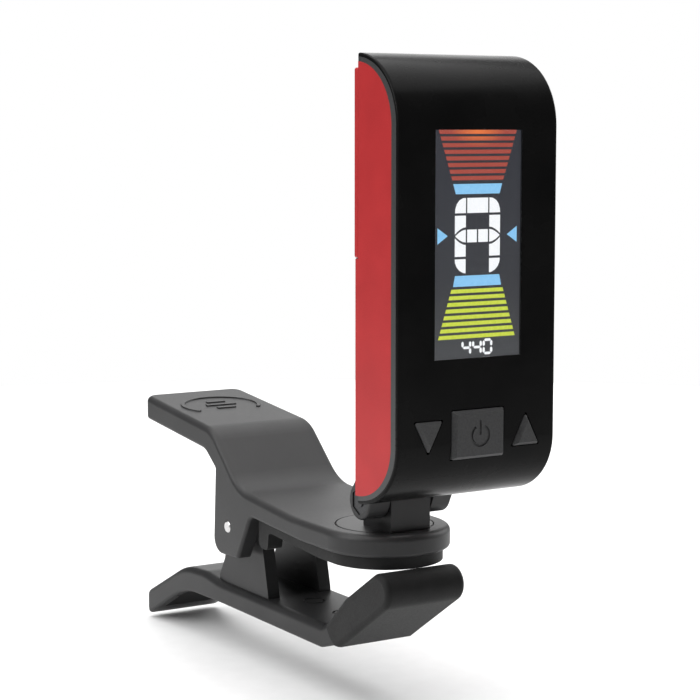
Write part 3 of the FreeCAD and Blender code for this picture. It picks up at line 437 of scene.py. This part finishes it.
def digits(text, left, base, width, height, pitch, stroke=0.34, break_gap=0.06):
    """Seven-segment digits; only the ones that the display shows have strokes."""
    strokes = {"4": "fgbc", "0": "abcdef"}
    half = height / 2
    ends = {"a": ((0, height), (width, height)), "b": ((width, height), (width, half)),
            "c": ((width, half), (width, 0)), "d": ((0, 0), (width, 0)), "e": ((0, 0), (0, half)),
            "f": ((0, half), (0, height)), "g": ((0, half), (width, half))}
    shapes = []
    for place, digit in enumerate(text):
        corner = Vector((left + place * pitch, base))
        for name in strokes[digit]:
            start, end = (corner + Vector(point) for point in ends[name])
            gap = (end - start).normalized() * break_gap
            shapes.append(segment(start + gap, end - gap, stroke))
    return shapes


def in_tune_marks():
    """Bars above and below the note, and the arrows at its sides."""
    arrow = [(6.25, 35.6), (4.68, 34.57), (6.25, 33.55)]
    return [
        [(-3.44, 39.9), (3.44, 39.9), (3.84, 41.2), (-3.84, 41.2)],
        [(-3.8, 28.0), (3.8, 28.0), (3.49, 29.4), (-3.49, 29.4)],
        mirrored(arrow),
        arrow,
    ]


def display():
    red = lit_warm("lit_red", edge=(0.42, 0.075, 0.05), core=(0.95, 0.22, 0.05))
    yellow = lit("lit_yellow", (0.60, 0.72, 0.045), (0.72, 0.82, 0.09))
    blue = lit("lit_blue", (0.25, 0.60, 0.93), (0.31, 0.66, 0.98))
    white = lit("lit_white", (0.93, 0.95, 0.96), (1.0, 1.0, 1.0), strength=1.1)
    sharp = bars(top=47.84, bottom=41.94, half_top=6.04, half_bottom=4.09)
    flat = bars(top=27.4, bottom=21.5, half_top=4.13, half_bottom=6.0, tall=0.5)
    pitch = digits("440", left=-2.25, base=19.15, width=1.2, height=1.75, pitch=1.68)
    graphics("display_sharp_bars", red, sharp)
    graphics("display_flat_bars", yellow, flat)
    graphics("display_in_tune", blue, in_tune_marks())
    graphics("display_note", white, letter_a())
    graphics("display_pitch", white, pitch)


def window_pane():
    """Clear pane with a fine chamfer, set flush in the cover."""
    low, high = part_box("display_lens")
    left, right, foot, top = low.x / MM, high.x / MM, low.z / MM, high.z / MM
    bm = bmesh.new()
    plate(bm, [(left, foot), (right, foot), (right, top), (left, top)], GLASS_FRONT, GLASS_BACK)
    bmesh.ops.bevel(bm, geom=bm.edges[:], offset=GLASS_CHAMFER, segments=2, affect="EDGES", profile=0.5)
    pane = piece("window_pane", "head", clear_pane(), bm)
    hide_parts("display_lens")


display()
window_pane()


# ------------------------------------------------------------------ door seal

def door_seal():
    """Soft strip in the gap under the battery door, which rises behind the door's rounded edge."""
    end_gap = 0.05
    low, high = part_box("battery_cover")
    half, inner, foot = high.x / MM - end_gap, low.y / MM, low.z / MM
    profile = [(0.0, -0.1), (0.55, -0.1), (0.55, 0.0), (0.22, 0.0), (0.1, 0.05), (0.0, 0.2)]
    bm = bmesh.new()
    plate(bm, [(inner + depth, foot + rise) for depth, rise in profile], -half, half)
    for vert in bm.verts:
        vert.co = (vert.co.y, vert.co.x, vert.co.z)
    piece("door_seal", "head", MATERIALS["rubber"], bm)


door_seal()


# ------------------------------------------------------------------ thumb pad

PAD_SLOPE = 0.107
PAD_END_ROUND = 0.6


def pad_height(y):
    """Height of the lever's thumb pad, which rises gently towards its rounded end."""
    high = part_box("upper_lever")[1]
    return high.z / MM - PAD_SLOPE * (high.y / MM - PAD_END_ROUND - y)


def ridge(bm, points, width, rise=0.22, root=0.4):
    """Raised strip with a sloping flank on each side, along (x, y) points of the thumb pad."""
    rows = []
    last = len(points) - 1
    for index, point in enumerate(points):
        here = Vector(point)
        along = Vector(points[min(index + 1, last)]) - Vector(points[max(index - 1, 0)])
        side = Vector((-along.y, along.x)).normalized()
        row = []
        for share, up in ((-0.75, -root), (-0.5, rise), (0.5, rise), (0.75, -root)):
            place = here + side * share * width
            row.append(bm.verts.new((place.x, place.y, pad_height(place.y) + up)))
        rows.append(row)
    for first, second in zip(rows, rows[1:]):
        for corner in range(4):
            after = (corner + 1) % 4
            bm.faces.new((first[corner], first[after], second[after], second[corner]))
    bm.faces.new(list(reversed(rows[0])))
    bm.faces.new(rows[-1])


def thumb_mark():
    """Plain raised arc round three short grip bars."""
    middle_y = 56.5
    radius, squeeze = 6.4, 0.8
    first, sweep, steps = -35.0, 250.0, 48
    arc_width, bar_width = 0.6, 0.7
    arc = []
    for index in range(steps + 1):
        angle = math.radians(first + sweep * index / steps)
        arc.append((radius * math.cos(angle), middle_y + radius * squeeze * math.sin(angle)))
    bm = bmesh.new()
    ridge(bm, arc, arc_width)
    for offset, half in ((-1.9, 1.6), (0.0, 2.6), (1.9, 1.6)):
        ridge(bm, [(-half, middle_y + offset), (half, middle_y + offset)], bar_width)
    piece("thumb_mark", "upper_jaw", MATERIALS["lever"], bm)


thumb_mark()


# ------------------------------------------------------------------ spring

def wire(name, body, points, radius):
    """Round steel wire along a list of points."""
    curve = bpy.data.curves.new(name, "CURVE")
    curve.dimensions = "3D"
    curve.bevel_depth = radius * MM
    curve.bevel_resolution = 4
    curve.use_fill_caps = True
    spline = curve.splines.new("POLY")
    spline.points.add(len(points) - 1)
    for target, point in zip(spline.points, points):
        target.co = (*(value * MM for value in point), 1.0)
    curve.materials.append(MATERIALS["steel"])
    obj = add_object(name, curve)
    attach(obj, body)
    return obj


def leg_end(start, length, angle):
    """Far end of a straight leg that leaves the coil at an angle."""
    x, y, z = start
    return (x, y + length * math.cos(angle), z + length * math.sin(angle))


def spring():
    """Coil and lower leg stay with the lower jaw; the upper leg goes with the lever."""
    pin_y, radius, half, gauge = 37.6, 2.7, 2.5, 0.5
    low_angle, high_angle = math.radians(-34.0), math.radians(43.5)
    low_leg, high_leg = 12.6, 7.4
    turns = 4 + (math.pi + low_angle - high_angle) / (2 * math.pi)
    steps = 150
    coil = []
    for index in range(steps + 1):
        share = index / steps
        angle = low_angle - math.pi / 2 - share * turns * 2 * math.pi
        coil.append((-half + 2 * half * share, pin_y + radius * math.cos(angle), radius * math.sin(angle)))
    foot = leg_end(coil[0], low_leg, low_angle)
    bend = ((3.4, 2.2), (3.1, 1.0), (2.3, 0.25))
    hook = [(foot[0], foot[1] + along, foot[2] + rise) for along, rise in bend]
    lower = wire("spring_coil", "lower_jaw", hook + [foot] + coil, gauge)
    wire("spring_upper_leg", "upper_jaw", [coil[-1], leg_end(coil[-1], high_leg, high_angle)], gauge)
    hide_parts("torsion_spring")


spring()


# ------------------------------------------------------------------ stage

FLOOR_RADIUS = 0.35
FLOOR_HEIGHT = -0.0215
TARGET = (0.0, 0.02, 0.02)
BACKDROP_STRENGTH = 1.0
FILL_STRENGTH = 0.12
CAMERA_PLACE = (-0.14609, -0.21982, 0.06027)
CAMERA_TURN = 31.7
CAMERA_DIP = 6.5
CAMERA_LENS = 100.0
SENSOR_WIDTH = 36.0


def floor():
    """Round sheet of pale card under the object."""
    shader = Shader("pale_floor")
    grain = shader.noise(3.0)
    shader.colour(grain, (0.87, 0.87, 0.87), (0.89, 0.89, 0.89))
    shader.bump(grain, 0.02, 0.3)
    shader.set(Roughness=0.75, Specular_IOR_Level=0.15)
    bm = bmesh.new()
    bmesh.ops.create_circle(bm, cap_ends=True, segments=96, radius=FLOOR_RADIUS)
    bmesh.ops.translate(bm, verts=bm.verts, vec=(TARGET[0], TARGET[1], FLOOR_HEIGHT))
    mesh = bpy.data.meshes.new("floor")
    bm.to_mesh(mesh)
    bm.free()
    mesh.materials.append(shader.mat)
    add_object("floor", mesh)


def softbox(name, place, size, power):
    """Square area light aimed at the object and hidden from the camera."""
    data = bpy.data.lights.new(name, "AREA")
    data.shape = "SQUARE"
    data.size = size
    data.energy = power
    obj = add_object(name, data)
    obj.location = place
    aim = Vector(TARGET) - Vector(place)
    obj.rotation_euler = aim.to_track_quat("-Z", "Y").to_euler()
    obj.visible_camera = False


def studio_world():
    """White backdrop for the camera, and a weaker even fill light."""
    world = bpy.data.worlds.new("studio")
    bpy.context.scene.world = world
    world.use_nodes = True
    tree = world.node_tree
    output = tree.nodes["World Output"]
    fill = tree.nodes["Background"]
    backdrop = tree.nodes.new("ShaderNodeBackground")
    for shader, strength in ((fill, FILL_STRENGTH), (backdrop, BACKDROP_STRENGTH)):
        shader.inputs["Color"].default_value = (1.0, 1.0, 1.0, 1.0)
        shader.inputs["Strength"].default_value = strength
    path = tree.nodes.new("ShaderNodeLightPath")
    mix = tree.nodes.new("ShaderNodeMixShader")
    tree.links.new(path.outputs["Is Camera Ray"], mix.inputs["Fac"])
    tree.links.new(fill.outputs["Background"], mix.inputs[1])
    tree.links.new(backdrop.outputs["Background"], mix.inputs[2])
    tree.links.new(mix.outputs["Shader"], output.inputs["Surface"])


def camera():
    """Long lens, slightly above the object and to the left of its face."""
    data = bpy.data.cameras.new("camera")
    data.lens = CAMERA_LENS
    data.sensor_width = SENSOR_WIDTH
    data.clip_start = 0.01
    data.clip_end = 50.0
    obj = add_object("camera", data)
    turn, dip = math.radians(CAMERA_TURN), math.radians(CAMERA_DIP)
    look = Vector((math.sin(turn) * math.cos(dip), math.cos(turn) * math.cos(dip), -math.sin(dip)))
    obj.location = CAMERA_PLACE
    obj.rotation_euler = look.to_track_quat("-Z", "Y").to_euler()
    bpy.context.scene.camera = obj


floor()
softbox("overhead", place=(0.0, 0.1, 1.0), size=1.5, power=19.0)
softbox("key_left", place=(-0.65, 0.15, 0.4), size=0.5, power=3.7)
softbox("back_glow", place=(0.5, 0.8, 0.3), size=0.6, power=1.7)
softbox("rim_right", place=(0.6, 0.05, 0.25), size=0.4, power=1.5)
studio_world()
camera()
bpy.context.scene.view_settings.view_transform = "Standard"
